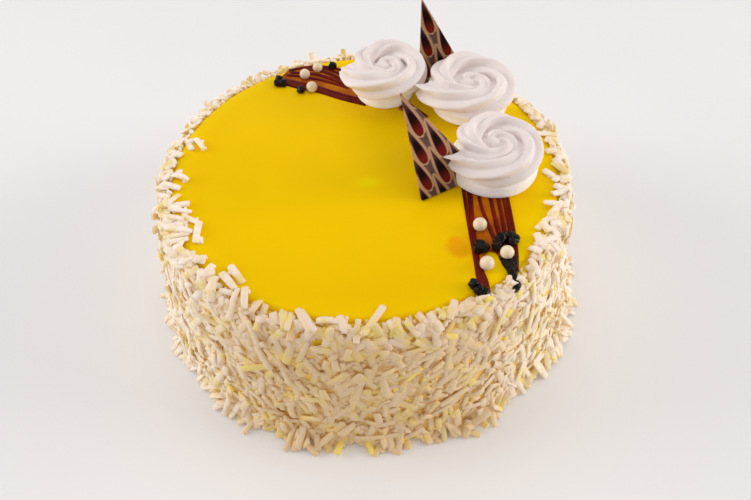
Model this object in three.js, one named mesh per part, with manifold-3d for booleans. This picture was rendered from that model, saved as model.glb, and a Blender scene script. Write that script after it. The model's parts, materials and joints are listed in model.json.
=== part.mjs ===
import * as THREE from 'three';
import { mergeVertices } from 'three/addons/utils/BufferGeometryUtils.js';
import Module from 'manifold-3d';

const wasm = await Module();
wasm.setup();

// A round cake under yellow glaze, its side coated with white shavings, with three
// piped rosettes, two chocolate triangles, syrup lines and sugar pearls on top.
// Millimetres, +Z up, origin at the middle of the base, front of the cake towards -Y.

// Cake body
const glazeTop = 75.2;
const glazeRadius = 93.5;
const glazeThickness = 3;
const glazeEdgeRadius = 2.2;
const pieceGap = 0.4;
const weldDistance = 1e-3;
const bodyTop = glazeTop - glazeThickness - pieceGap;
const wellRadius = glazeRadius + pieceGap;
const rimHeight = glazeTop - 1.6;
const footRadius = 106.5;
const bodySides = 40;

// Shavings on the side
const shavingRows = 8;
const shavingsInRow = 28;
const shavingRowBottom = 3.5;
const shavingRowTop = 71.5;
const shavingLengths = [9, 16];
const shavingWidths = [3, 3.8];
const shavingThickness = 2.6;
const shavingTilt = 0.42;
const shavingLift = 0.8;
const shavingSeed = 21;
const footShavings = 22;
const footShavingRadius = 108;

// Shavings that lie on the edge of the glaze
const edgeShavings = 20;
const edgeMargin = 1;

// Piped rosettes: place, foot ring, reach and height of the rope, and where its tail points
const rosettes = {
  rosette_front: { x: 60.8, y: -8, footRadius: 19.4, reach: 22.7, height: 21 },
  rosette_middle: { x: 55.6, y: 42, footRadius: 19, reach: 23.9, height: 21.3 },
  rosette_back: { x: 11.8, y: 54.5, footRadius: 16, reach: 21.2, height: 23 },
};
const tails = {
  rosette_front: { angle: 199, reach: 27.3, height: 15.5 },
  rosette_middle: { angle: 187, reach: 29.8, height: 16.5 },
  rosette_back: { angle: 177, reach: 23.6, height: 14 },
};
const ropeTurns = 1.8;
const ropeCurl = 2;
const ropeFullness = 0.31;
const tailShare = 0.35;
const eyeDepth = 5;
const ropeRidges = 6;
const ropeRidgeDepth = 0.14;
const ropeStretches = 3;
const stepsInStretch = 8;
const rosetteSides = 16;

// Chocolate triangles: left foot corner on the glaze, heading of the foot, lean from upright
const triangleThickness = 1.6;
const triangles = {
  triangle_front: { x: 27.1, y: -28.9, heading: 28.9, lean: 24, left: 49, foot: 34 },
  triangle_back: { x: 31, y: 61, heading: 2, lean: 4, left: 47, foot: 29 },
};

// Syrup lines on the glaze, as stops from the rim inwards
const syrupWidth = 1.9;
const syrupHeight = 0.9;
const syrupSides = 4;
const syrupStep = 11;
const syrupLines = [
  [[46.8, -78.4], [45.3, -57.8], [44.9, -35.7], [45.6, -24.5]],
  [[46.8, -78.4], [47.8, -60.6], [46.8, -37.6], [47.4, -26]],
  [[46.8, -78.4], [48.9, -60], [49, -37.7], [50.2, -27.1]],
  [[59.4, -69.6], [55.2, -58], [53.4, -37.8], [53, -30]],
  [[59.4, -69.6], [64.6, -55.6], [65.4, -36.3], [65.4, -31]],
  [[-44.5, 68.5], [-33.6, 60.9], [-22.6, 56.8], [-7.5, 49.5]],
  [[-42, 74], [-30, 73], [-20, 67], [-8, 60]],
  [[-42, 74], [-30, 80], [-20.7, 77], [-8, 66.5]],
];

// Sugar pearls on the glaze
const whitePearlRadius = 3.1;
const darkPearlRadius = 2.6;
const pearlSink = 0.4;
const whitePearls = [
  [50.2, -46.2], [50.3, -67.1], [59.6, -61.6], [-31.3, 70.6], [-24.6, 77.2], [-26.8, 58.1],
];
const darkPearls = [
  [49.5, -57.4], [57, -55.7], [59.6, -52.1], [62.8, -53.1], [43, -76.5], [47.4, -77.4],
  [58.6, -68.8], [-45.1, 64.5], [-42.1, 67.7], [-32.8, 56.1], [-16.3, 79.5],
];

// Colours and finishes
const finishes = {
  shavings: new THREE.MeshStandardMaterial({ color: 0xe0cdb4, roughness: 0.6, metalness: 0 }),
  glaze: new THREE.MeshStandardMaterial({ color: 0xeabf00, roughness: 0.2, metalness: 0 }),
  meringue: new THREE.MeshStandardMaterial({ color: 0xf0e9ec, roughness: 0.7, metalness: 0 }),
  chocolate: new THREE.MeshStandardMaterial({ color: 0x4a2020, roughness: 0.35, metalness: 0 }),
};

// Repeatable random numbers from 0 to 1
function seededRandom(seed) {
  let state = seed;
  return () => {
    state = (state + 0x6d2b79f5) | 0;
    let mixed = Math.imul(state ^ (state >>> 15), 1 | state);
    mixed = (mixed + Math.imul(mixed ^ (mixed >>> 7), 61 | mixed)) ^ mixed;
    return ((mixed ^ (mixed >>> 14)) >>> 0) / 4294967296;
  };
}

const between = (low, high, share) => low + (high - low) * share;

// A closed geometry as a solid that can be joined and cut
function toSolid(geometry) {
  const bare = geometry.clone();
  bare.deleteAttribute('normal');
  bare.deleteAttribute('uv');
  const merged = mergeVertices(bare, 1e-4);
  const vertProperties = new Float32Array(merged.attributes.position.array);
  const triVerts = new Uint32Array(merged.index.array);
  return new wasm.Manifold(new wasm.Mesh({ numProp: 3, vertProperties, triVerts }));
}

// The three edges of a triangle, each named by its two corners
function edgesOf(triangle) {
  return triangle.map((corner, side) => {
    const next = triangle[(side + 1) % 3];
    return `${Math.min(corner, next)} ${Math.max(corner, next)}`;
  });
}

// Triangles sorted into shells that hang together edge to edge
function findShells(triangles) {
  const atEdge = new Map();
  for (const triangle of triangles) {
    for (const edge of edgesOf(triangle)) {
      atEdge.set(edge, [...(atEdge.get(edge) ?? []), triangle]);
    }
  }
  const seen = new Set();
  const shells = [];
  for (const first of triangles) {
    if (seen.has(first)) continue;
    seen.add(first);
    const shell = [first];
    for (const triangle of shell) {
      for (const beside of edgesOf(triangle).flatMap((edge) => atEdge.get(edge))) {
        if (!seen.has(beside)) shell.push(beside);
        seen.add(beside);
      }
    }
    shells.push(shell);
  }
  return shells;
}

// The outermost shell of a solid: sealed hollows are filled and loose scraps dropped
function toGeometry(solid) {
  const mesh = solid.getMesh();
  const loose = new THREE.BufferGeometry();
  loose.setAttribute('position', new THREE.BufferAttribute(new Float32Array(mesh.vertProperties), 3));
  loose.setIndex(Array.from(mesh.triVerts));
  const geometry = mergeVertices(loose, weldDistance);
  const positions = geometry.attributes.position;
  const index = geometry.index.array;
  const triangles = [];
  for (let i = 0; i < index.length; i += 3) {
    const triangle = [index[i], index[i + 1], index[i + 2]];
    if (new Set(triangle).size === 3) triangles.push(triangle);
  }
  const [a, b, c] = [new THREE.Vector3(), new THREE.Vector3(), new THREE.Vector3()];
  const volume = (shell) => shell.reduce((sum, triangle) => {
    [a, b, c].forEach((corner, i) => corner.fromBufferAttribute(positions, triangle[i]));
    return sum + a.dot(b.cross(c)) / 6;
  }, 0);
  const shells = findShells(triangles).sort((one, other) => volume(other) - volume(one));
  geometry.setIndex(shells[0].flat());
  return geometry;
}

// A solid of revolution about Z from a profile of [radius, height] stops
function turned(stops, sides) {
  const profile = stops.map(([radius, height]) => new THREE.Vector2(radius, height));
  const lathe = new THREE.LatheGeometry(profile, sides);
  lathe.rotateX(Math.PI / 2);
  return toSolid(lathe);
}

// The outside of the coated side: radius of the body at a height
const sideStops = [[0, footRadius], [14, 103], [67, 97], [rimHeight, 95.4]];
function sideRadius(height) {
  const above = sideStops.findIndex(([stop]) => stop >= height);
  const [lowHeight, lowRadius] = sideStops[Math.max(above - 1, 0)];
  const [highHeight, highRadius] = sideStops[Math.max(above, 1)];
  return between(lowRadius, highRadius, (height - lowHeight) / (highHeight - lowHeight));
}

// One shaving: a short flat stick of random length and width, turned at random in its own plane
function makeShaving(random, swing) {
  const length = between(...shavingLengths, random());
  const width = between(...shavingWidths, random());
  const stick = new THREE.BoxGeometry(length, width, shavingThickness);
  stick.rotateY(shavingTilt * (2 * random() - 1));
  stick.rotateZ(swing * (2 * random() - 1));
  return stick;
}

// Cake body with its coat of shavings, and the shallow well that holds the glaze
function makeCake() {
  const random = seededRandom(shavingSeed);
  const profile = [[0, 0], ...sideStops.map(([height, radius]) => [radius, height])];
  let body = turned([...profile, [0, rimHeight]], bodySides);
  for (let row = 0; row < shavingRows; row += 1) {
    const rowHeight = between(shavingRowBottom, shavingRowTop, row / (shavingRows - 1));
    const rowSpacing = (shavingRowTop - shavingRowBottom) / (shavingRows - 1);
    for (let column = 0; column < shavingsInRow; column += 1) {
      const turn = ((column + (row % 2) / 2 + 0.7 * (random() - 0.5)) / shavingsInRow) * 2 * Math.PI;
      const height = rowHeight + rowSpacing * 0.7 * (random() - 0.5);
      const stick = makeShaving(random, Math.PI / 2);
      stick.rotateX(Math.PI / 2);
      stick.rotateZ(Math.PI / 2);
      stick.translate(sideRadius(height) + shavingLift, 0, height);
      stick.rotateZ(turn);
      body = body.add(toSolid(stick));
    }
  }
  for (let number = 0; number < footShavings; number += 1) {
    const stick = makeShaving(random, 1);
    stick.translate(footShavingRadius, 0, shavingThickness / 2);
    stick.rotateZ(((number + random()) / footShavings) * 2 * Math.PI);
    body = body.add(toSolid(stick));
  }
  const above = bodyTop + 30;
  const well = turned([[0, bodyTop], [wellRadius, bodyTop], [wellRadius, above], [0, above]], bodySides);
  const belowFloor = new THREE.BoxGeometry(3 * footRadius, 3 * footRadius, 40);
  belowFloor.translate(0, 0, -20);
  return toGeometry(body.subtract(well).subtract(toSolid(belowFloor)));
}

// A syrup line: a flat ribbon with a rounded back, half sunk in the glaze
function makeSyrupLine(stops) {
  const route = new THREE.CatmullRomCurve3(stops.map(([x, y]) => new THREE.Vector3(x, y, glazeTop)));
  const section = new THREE.Shape();
  for (let side = 0; side < syrupSides; side += 1) {
    const angle = (side / syrupSides) * 2 * Math.PI;
    const corner = [syrupHeight * Math.cos(angle), (syrupWidth / 2) * Math.sin(angle)];
    if (side === 0) section.moveTo(...corner);
    else section.lineTo(...corner);
  }
  const steps = Math.ceil(route.getLength() / syrupStep);
  return new THREE.ExtrudeGeometry(section, { steps, extrudePath: route });
}

function makePearl(radius, [x, y], sides, rings) {
  const pearl = new THREE.SphereGeometry(radius, sides, rings);
  pearl.rotateX(Math.PI / 2);
  pearl.translate(x, y, glazeTop + radius - pearlSink);
  return pearl;
}

// Whether a shaving lying here on the glaze could touch the foot of a rosette
function nearRosette(x, y) {
  const room = shavingLengths[1] / 2 + 1;
  return Object.values(rosettes).some((rosette) => {
    return Math.hypot(x - rosette.x, y - rosette.y) < rosette.footRadius + room;
  });
}

// Glaze with its rounded edge, syrup lines, pearls and the shavings that lie on its edge
function makeGlaze() {
  const bottom = glazeTop - glazeThickness;
  const rounding = [];
  for (let step = 0; step <= 2; step += 1) {
    const angle = (step / 2) * (Math.PI / 2);
    const radius = glazeRadius - glazeEdgeRadius * (1 - Math.cos(angle));
    rounding.push([radius, glazeTop - glazeEdgeRadius * (1 - Math.sin(angle))]);
  }
  let glaze = turned([[0, bottom], [glazeRadius - 0.6, bottom], ...rounding, [0, glazeTop]], bodySides);
  for (const stops of syrupLines) glaze = glaze.add(toSolid(makeSyrupLine(stops)));
  for (const place of whitePearls) glaze = glaze.add(toSolid(makePearl(whitePearlRadius, place, 7, 4)));
  for (const place of darkPearls) glaze = glaze.add(toSolid(makePearl(darkPearlRadius, place, 5, 4)));
  const random = seededRandom(shavingSeed + 1);
  for (let number = 0; number < edgeShavings; number += 1) {
    const stick = makeShaving(random, Math.PI / 2);
    stick.computeBoundingBox();
    const radius = glazeRadius - edgeMargin - stick.boundingBox.max.x;
    const turn = ((number + random()) / edgeShavings) * 2 * Math.PI;
    stick.rotateZ(turn);
    stick.translate(radius * Math.cos(turn), radius * Math.sin(turn), glazeTop + shavingThickness / 4);
    if (!nearRosette(radius * Math.cos(turn), radius * Math.sin(turn))) glaze = glaze.add(toSolid(stick));
  }
  return toGeometry(glaze);
}

// Half the rope's thickness: a point at the tail, fullest at the back, finer towards the eye
function ropeThickness(rosette, share) {
  const tail = Math.sin((Math.PI / 2) * THREE.MathUtils.clamp(share / tailShare, 0.02, 1));
  return rosette.reach * ropeFullness * tail * (1 - 0.55 * Math.max(share - tailShare, 0));
}

// The middle line of a rosette's rope: from its tail it rises round the rim, then curls in to the eye
function ropeMiddle(rosette, tail, share) {
  const inward = THREE.MathUtils.clamp(share, 0, 1);
  const thickness = ropeThickness(rosette, inward);
  const turn = THREE.MathUtils.degToRad(tail.angle) + share * ropeTurns * 2 * Math.PI;
  const tip = Math.max(1 - inward / tailShare, 0) ** 2;
  const curl = Math.cos((Math.PI / 2) * inward ** ropeCurl);
  const radius = (rosette.reach - thickness) * curl + (tail.reach - rosette.reach) * tip;
  const eye = eyeDepth * THREE.MathUtils.smoothstep(share, 0.6, 1);
  const sink = (rosette.height - tail.height) * tip + eye;
  return new THREE.Vector3(radius * Math.cos(turn), radius * Math.sin(turn), rosette.height - thickness - sink);
}

// One stretch of a rosette's ridged rope: a round bar whose rings are moved along the spiral
function makeRopeStretch(rosette, tail, extra, number) {
  const stretch = new THREE.CylinderGeometry(1, 1, 1, 2 * ropeRidges, stepsInStretch);
  const position = stretch.attributes.position;
  const upward = new THREE.Vector3(0, 0, 1);
  for (let i = 0; i < position.count; i += 1) {
    const share = (number + 0.5 + position.getY(i)) / ropeStretches;
    const around = Math.atan2(position.getZ(i), position.getX(i));
    const fromMiddle = Math.hypot(position.getX(i), position.getZ(i));
    const middle = ropeMiddle(rosette, tail, share);
    const behind = ropeMiddle(rosette, tail, share - 0.002);
    const ahead = ropeMiddle(rosette, tail, share + 0.002).sub(behind).normalize();
    const outward = new THREE.Vector3().crossVectors(ahead, upward).normalize();
    const over = new THREE.Vector3().crossVectors(outward, ahead);
    const ridge = 1 - ropeRidgeDepth * (1 - Math.cos(ropeRidges * around));
    const reach = fromMiddle * (ropeThickness(rosette, share) * ridge + extra);
    middle.addScaledVector(outward, reach * Math.cos(around));
    middle.addScaledVector(over, reach * Math.sin(around));
    position.setXYZ(i, middle.x, middle.y, middle.z);
  }
  return toSolid(stretch);
}

// A piped rosette on its smooth foot ring; extra makes it fatter all over
function makeRosette(name, extra) {
  const rosette = rosettes[name];
  const { footRadius: foot, height } = rosette;
  const lower = [[0, -extra], [foot * 0.94 + extra, -extra], [foot + extra, height * 0.15]];
  const upper = [[foot + extra, height * 0.36], [foot * 0.8 + extra, height * 0.52], [0, height * 0.66]];
  let solid = turned([...lower, ...upper], rosetteSides);
  for (let number = 0; number < ropeStretches; number += 1) {
    solid = solid.add(makeRopeStretch(rosette, tails[name], extra, number));
  }
  return solid.translate([rosette.x, rosette.y, glazeTop + pieceGap]);
}

// A thin chocolate triangle that stands on the glaze, set into the side of the rosettes
function makeTriangle({ x, y, heading, lean, left, foot }) {
  const outline = new THREE.Shape();
  outline.moveTo(0, 0);
  outline.lineTo(foot, 0);
  outline.lineTo(0, left);
  const plate = new THREE.ExtrudeGeometry(outline, { depth: triangleThickness, bevelEnabled: false });
  plate.translate(0, 0, -triangleThickness);
  plate.rotateX(Math.PI / 2 - THREE.MathUtils.degToRad(lean));
  plate.rotateZ(THREE.MathUtils.degToRad(heading));
  const lowest = triangleThickness * Math.sin(THREE.MathUtils.degToRad(lean));
  plate.translate(x, y, glazeTop + pieceGap + lowest);
  let solid = toSolid(plate);
  for (const rosette of Object.keys(rosettes)) solid = solid.subtract(makeRosette(rosette, pieceGap));
  return toGeometry(solid);
}

// The whole cake
const cake = new THREE.Group();

function addPiece(name, geometry, finish) {
  const mesh = new THREE.Mesh(geometry, finish);
  mesh.name = name;
  cake.add(mesh);
}

addPiece('cake', makeCake(), finishes.shavings);
addPiece('glaze', makeGlaze(), finishes.glaze);
for (const name of Object.keys(rosettes)) {
  addPiece(name, toGeometry(makeRosette(name, 0)), finishes.meringue);
}
for (const [name, triangle] of Object.entries(triangles)) {
  addPiece(name, makeTriangle(triangle), finishes.chocolate);
}

export default cake;
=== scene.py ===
import json
import math
import random

import bmesh
import bpy
from mathutils import Euler, Matrix, Vector, noise

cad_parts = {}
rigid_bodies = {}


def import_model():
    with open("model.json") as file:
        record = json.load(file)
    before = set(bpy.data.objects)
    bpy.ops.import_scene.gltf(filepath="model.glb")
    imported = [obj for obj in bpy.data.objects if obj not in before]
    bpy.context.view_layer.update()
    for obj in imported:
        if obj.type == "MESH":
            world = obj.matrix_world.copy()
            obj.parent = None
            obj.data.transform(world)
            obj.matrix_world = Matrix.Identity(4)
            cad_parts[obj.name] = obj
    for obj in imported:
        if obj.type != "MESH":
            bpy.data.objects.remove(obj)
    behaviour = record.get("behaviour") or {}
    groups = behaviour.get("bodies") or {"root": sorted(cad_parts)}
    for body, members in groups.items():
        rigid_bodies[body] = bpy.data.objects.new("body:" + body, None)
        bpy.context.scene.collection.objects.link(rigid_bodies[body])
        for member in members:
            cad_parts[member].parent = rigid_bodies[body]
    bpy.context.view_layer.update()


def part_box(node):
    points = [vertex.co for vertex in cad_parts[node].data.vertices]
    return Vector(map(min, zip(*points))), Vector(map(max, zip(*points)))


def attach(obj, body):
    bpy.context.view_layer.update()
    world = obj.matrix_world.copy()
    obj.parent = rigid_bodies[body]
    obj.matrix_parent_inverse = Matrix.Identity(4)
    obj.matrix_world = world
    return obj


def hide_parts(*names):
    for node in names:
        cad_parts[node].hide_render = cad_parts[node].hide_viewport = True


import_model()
mm = 0.001
solidLift = 0.4  # the rosettes' solids start this far above the glaze, mm
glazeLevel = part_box("rosette_front")[0][2] / mm - solidLift  # top of the glaze, mm
print("frame loaded, glaze at", round(glazeLevel, 2), "mm")


# Small helpers for pieces
def addObject(name, data):
    item = bpy.data.objects.new(name, data)
    bpy.context.collection.objects.link(item)
    return item


def addPiece(name, mesh, materials, nodes=()):
    piece = addObject(name, mesh)
    mesh.materials.clear()
    for material in materials:
        mesh.materials.append(material)
    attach(piece, "root")
    if nodes:
        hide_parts(*nodes)
    return piece


def applied(item):
    # the mesh of an object with its modifiers applied; the object itself goes
    mesh = bpy.data.meshes.new_from_object(item.evaluated_get(bpy.context.evaluated_depsgraph_get()))
    bpy.data.objects.remove(item)
    return mesh


def meshFrom(bm, name, smooth=True):
    mesh = bpy.data.meshes.new(name)
    for face in bm.faces:
        face.smooth = smooth
    bm.to_mesh(mesh)
    bm.free()
    return mesh


def turned(profile, steps):
    # profile in mm, from axis to axis
    bm = bmesh.new()
    verts = [bm.verts.new((radius * mm, 0, height * mm)) for radius, height in profile]
    edges = [bm.edges.new(pair) for pair in zip(verts, verts[1:])]
    bmesh.ops.spin(bm, geom=verts + edges, cent=(0, 0, 0), axis=(0, 0, 1), angle=2 * math.pi,
                   steps=steps, use_merge=True)
    bmesh.ops.remove_doubles(bm, verts=bm.verts, dist=1e-6)
    bmesh.ops.recalc_face_normals(bm, faces=bm.faces)
    return bm


def between(low, high, share):
    return low + (high - low) * share


def atReach(angle, reach, height):
    return (reach * math.cos(angle), reach * math.sin(angle), height)


# Camera: it looks down on the cake from the front, turned a little on its own axis
cameraView = {
    "aim": (5.56, 7.98, 0.0),  # mm
    "distance": 349.5,  # mm
    "elevation": 49.35,
    "roll": 1.254,
    "focalPixels": 600.0,
    "imageWidth": 751,
    "sensorWidth": 36.0,  # mm
    "clipStart": 0.01,  # m
}


def addCamera(view):
    data = bpy.data.cameras.new("viewCamera")
    data.sensor_width = view["sensorWidth"]
    data.lens = view["focalPixels"] / view["imageWidth"] * data.sensor_width
    data.clip_start = view["clipStart"]
    camera = addObject("viewCamera", data)
    elevation = math.radians(view["elevation"])
    forward = Vector((0, math.cos(elevation), -math.sin(elevation)))
    roll = Matrix.Rotation(math.radians(-view["roll"]), 4, "Z")
    turn = Matrix.Rotation(math.pi / 2 - elevation, 4, "X") @ roll
    place = (Vector(view["aim"]) - forward * view["distance"]) * mm
    camera.matrix_world = Matrix.Translation(place) @ turn
    bpy.context.scene.camera = camera


addCamera(cameraView)
bpy.context.scene.view_settings.view_transform = "Standard"  # keeps the yellow of the glaze clean

# Light: a pale studio with a big soft box on each side and one overhead, in metres and watts
studio = {
    "world": (1.0, 0.97, 0.97),
    "worldStrength": 0.6,
    "aim": (0, 0, 0.05),
    "boxes": {
        "left": {"place": (-2.0, 0.25, 0.7), "size": 1.2, "spread": 60,
                 "power": 3.0, "color": (1.0, 0.95, 0.95)},
        "right": {"place": (2.0, 0.0, 0.7), "size": 1.2, "spread": 60,
                  "power": 3.2, "color": (1.0, 0.95, 0.9)},
        "top": {"place": (-0.1, 0.5, 1.6), "size": 1.2, "spread": 180,
                "power": 4.0, "color": (1.0, 0.98, 0.98)},
    },
}


def addLights():
    world = bpy.data.worlds.new("studioWorld")
    world.use_nodes = True
    background = world.node_tree.nodes["Background"]
    background.inputs["Color"].default_value = (*studio["world"], 1)
    background.inputs["Strength"].default_value = studio["worldStrength"]
    bpy.context.scene.world = world
    for name, box in studio["boxes"].items():
        data = bpy.data.lights.new(name + "Box", "AREA")
        data.size = box["size"]
        data.spread = math.radians(box["spread"])
        data.energy = box["power"]
        data.color = box["color"]
        light = addObject(name + "Box", data)
        light.location = box["place"]
        toCake = Vector(studio["aim"]) - Vector(box["place"])
        light.rotation_euler = toCake.to_track_quat("-Z", "Y").to_euler()


addLights()
print("camera and lights placed")


# Small helpers for materials
def paint(red, green, blue):
    # screen colour from 0 to 255 as linear light
    parts = [value / 255 for value in (red, green, blue)]
    return (*[part / 12.92 if part <= 0.04045 else ((part + 0.055) / 1.055) ** 2.4 for part in parts], 1)


def addNode(tree, kind, inputs=None, **settings):
    node = tree.nodes.new(kind)
    for name, value in settings.items():
        setattr(node, name, value)
    for name, value in (inputs or {}).items():
        if hasattr(value, "is_output"):
            tree.links.new(value, node.inputs[name])
        else:
            node.inputs[name].default_value = value
    return node


def mathNode(tree, operation, first, second=0.0):
    return addNode(tree, "ShaderNodeMath", {0: first, 1: second}, operation=operation).outputs[0]


def times(tree, first, second):
    return mathNode(tree, "MULTIPLY", first, second)


def spread(tree, value, low, high):
    # 0 at low, 1 at high, smooth between
    inputs = {"Value": value, "From Min": low, "From Max": high}
    return addNode(tree, "ShaderNodeMapRange", inputs, interpolation_type="SMOOTHSTEP").outputs["Result"]


def axes(tree, coords):
    return addNode(tree, "ShaderNodeSeparateXYZ", {0: coords}).outputs


def blendColor(tree, share, first, second):
    return addNode(tree, "ShaderNodeMix", {0: share, 6: first, 7: second}, data_type="RGBA").outputs[2]


def wash(tree, base, mask, strength, color):
    # a colour laid over the base where the mask is, at part strength
    return blendColor(tree, times(tree, mask, strength), base, color)


def newMaterial(name, shaderInputs):
    material = bpy.data.materials.new(name)
    material.use_nodes = True
    tree = material.node_tree
    shader = tree.nodes["Principled BSDF"]
    for socket, value in shaderInputs.items():
        shader.inputs[socket].default_value = value
    coords = tree.nodes.new("ShaderNodeTexCoord")
    return material, tree, shader, coords.outputs["Object"]


def newShaderGroup(name, inputs, outputs):
    # every socket is a number, except for Vector
    tree = bpy.data.node_groups.new(name, "ShaderNodeTree")
    for side, sockets in (("INPUT", inputs), ("OUTPUT", outputs)):
        for socket in sockets:
            kind = "NodeSocketVector" if socket == "Vector" else "NodeSocketFloat"
            tree.interface.new_socket(socket, in_out=side, socket_type=kind)
    return tree, tree.nodes.new("NodeGroupInput").outputs, tree.nodes.new("NodeGroupOutput").inputs


def makeMottleGroup():
    # soft patches and a fine grain, shared by every food surface
    tree, start, end = newShaderGroup("foodMottle", ("Vector", "Scale", "Start", "End"), ("Patches", "Grain"))
    vector = start["Vector"]
    patches = addNode(tree, "ShaderNodeTexNoise", {"Vector": vector, "Scale": start["Scale"], "Detail": 3.0})
    ramp = addNode(tree, "ShaderNodeMapRange", {
        "Value": patches.outputs["Fac"], "From Min": start["Start"], "From Max": start["End"]})
    finer = times(tree, start["Scale"], 9.0)
    grain = addNode(tree, "ShaderNodeTexNoise", {"Vector": vector, "Scale": finer, "Detail": 4.0})
    tree.links.new(ramp.outputs["Result"], end["Patches"])
    tree.links.new(grain.outputs["Fac"], end["Grain"])
    return tree


mottleGroup = makeMottleGroup()


def mottle(tree, vector, scale, start, end):
    inputs = {"Vector": vector, "Scale": scale, "Start": start, "End": end}
    node = addNode(tree, "ShaderNodeGroup", inputs, node_tree=mottleGroup)
    return node.outputs["Patches"], node.outputs["Grain"]


def fromSpot(tree, coords, spot, stretch=(1, 1)):
    # distance in metres from a spot on the top
    place = addNode(tree, "ShaderNodeMapping", {
        "Vector": coords, "Scale": (*stretch, 0),
        "Location": (-spot[0] * mm * stretch[0], -spot[1] * mm * stretch[1], 0)}, vector_type="POINT")
    return addNode(tree, "ShaderNodeVectorMath", {0: place.outputs[0]}, operation="LENGTH").outputs["Value"]


def addBump(tree, shader, height, depth, strength=1.0):
    bump = addNode(tree, "ShaderNodeBump", {"Height": height, "Distance": depth, "Strength": strength})
    tree.links.new(bump.outputs["Normal"], shader.inputs["Normal"])


def makeMottled(name, shaderInputs, patchwork, colors, depth=0, lumpy=False):
    # patches of two colours, sized and edged as mottle does, with a bump from the grain or the patches
    material, tree, shader, coords = newMaterial(name, shaderInputs)
    patches, grain = mottle(tree, coords, *patchwork)
    tree.links.new(blendColor(tree, patches, *colors), shader.inputs["Base Color"])
    if depth:
        addBump(tree, shader, patches if lumpy else grain, depth)
    return material


# Cake body: the cream and run-down glaze that show between the shavings
body = {
    "side": [(0, 106.5), (14, 103), (67, 97), (73.6, 95.4)],  # height and radius, mm
    "grow": 1.1,
    "rings": 26,
    "steps": 220,
    "lumps": 0.8,
    "lumpSize": 9.0,
    "movedFrom": (50, 0.5),  # radius and height past which it takes lumps and steps back, mm
    "slope": 0.13,  # of the side, about
    "shoulder": [(96.0, 71.0), (95.2, 72.6), (93.8, 73.4), (90.0, 73.4)],  # radius and height, mm
    # angle from the right, counted to the back, and how far the top edge stands back there, in mm
    "stepBack": [(-180, 2.6), (-168, 2.4), (-155, 1.2), (-135, 0.2), (-120, 0.0), (-90, 0.5), (-40, 0.0),
                 (20, 0.0), (45, 0.8), (80, 2.6), (120, 3.2), (150, 3.0), (180, 2.6)],
    "stepBackFrom": 35.0,  # height where it starts, mm
    # angle, and how far the foot stands out there under heaped shavings, in mm
    "heap": [(-180, 1.0), (-150, 2.2), (-120, 2.0), (-90, 0.8), (-60, 1.6), (-35, 3.4), (-5, 4.0), (20, 2.0),
             (50, 0.0), (150, 0.0), (180, 1.0)],
    "heapTop": 48.0,  # height where it ends, mm
    # the cream's own colour, deepened to orange as painted shade, since it shows only in the gaps between
    # shavings
    "cream": (paint(234, 178, 74), paint(246, 212, 136)),
    # painted light: a paler cream on the far half, where more light falls
    "litRearCream": paint(253, 234, 192),
    "runGlaze": paint(246, 206, 60),
    "topEdge": paint(236, 200, 0),
}


def sideRadius(height):
    stops = body["side"]
    for (low, lowRadius), (high, highRadius) in zip(stops, stops[1:]):
        if height <= high:
            return between(lowRadius, highRadius, (height - low) / (high - low))
    return stops[-1][1]


def atAngle(stops, angle):
    # value of a list of (angle in degrees, value) at an angle in radians
    degrees = (math.degrees(angle) + 180) % 360 - 180
    for (start, first), (end, last) in zip(stops, stops[1:]):
        if degrees <= end:
            return between(first, last, (degrees - start) / (end - start))
    return stops[-1][1]


def stepBack(angle, height):
    rise = min(max((height - body["stepBackFrom"]) / (body["shoulder"][0][1] - body["stepBackFrom"]), 0), 1)
    fall = max(1 - height / body["heapTop"], 0) ** 1.5
    return atAngle(body["stepBack"], angle) * rise - atAngle(body["heap"], angle) * fall


def rearShare(tree, axis):
    # 0 on the front half, 1 on the far half
    return spread(tree, axis["Y"], -0.01, 0.05)


def makeBodyMaterial():
    material, tree, shader, coords = newMaterial("creamCoat", {"Roughness": 0.45})
    patches, grain = mottle(tree, coords, 45.0, 0.45, 0.62)
    axis = axes(tree, coords)
    # cream in its own colour, deepened to orange as painted shade of the gaps
    cream = blendColor(tree, grain, *body["cream"])
    # painted light: paler on the far half, where more light falls
    cream = wash(tree, cream, rearShare(tree, axis), 0.8, body["litRearCream"])
    run = wash(tree, cream, patches, 0.6, body["runGlaze"])
    nearTop = spread(tree, axis["Z"], 0.060, 0.069)
    tree.links.new(blendColor(tree, nearTop, run, body["topEdge"]), shader.inputs["Base Color"])
    addBump(tree, shader, grain, 0.0006)
    return material


def makeBody():
    profile = [(0, 0)]
    for ring in range(body["rings"]):
        height = between(0, body["shoulder"][0][1], ring / body["rings"])
        profile.append((sideRadius(height) + body["grow"], height))
    profile += body["shoulder"]
    profile.append((0, body["shoulder"][-1][1]))
    bm = turned(profile, body["steps"])
    still, level = body["movedFrom"]
    for vert in bm.verts:
        radius = math.hypot(vert.co.x, vert.co.y) / mm
        if vert.co.z > level * mm and radius > still:
            lump = noise.noise(vert.co / (body["lumpSize"] * mm)) * body["lumps"]
            back = stepBack(math.atan2(vert.co.y, vert.co.x), vert.co.z / mm)
            vert.co.xy *= 1 + (lump - back) / radius
    addPiece("creamBody", meshFrom(bm, "creamBody"), [makeBodyMaterial()], ["cake"])


makeBody()
print("cake body made")

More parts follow.
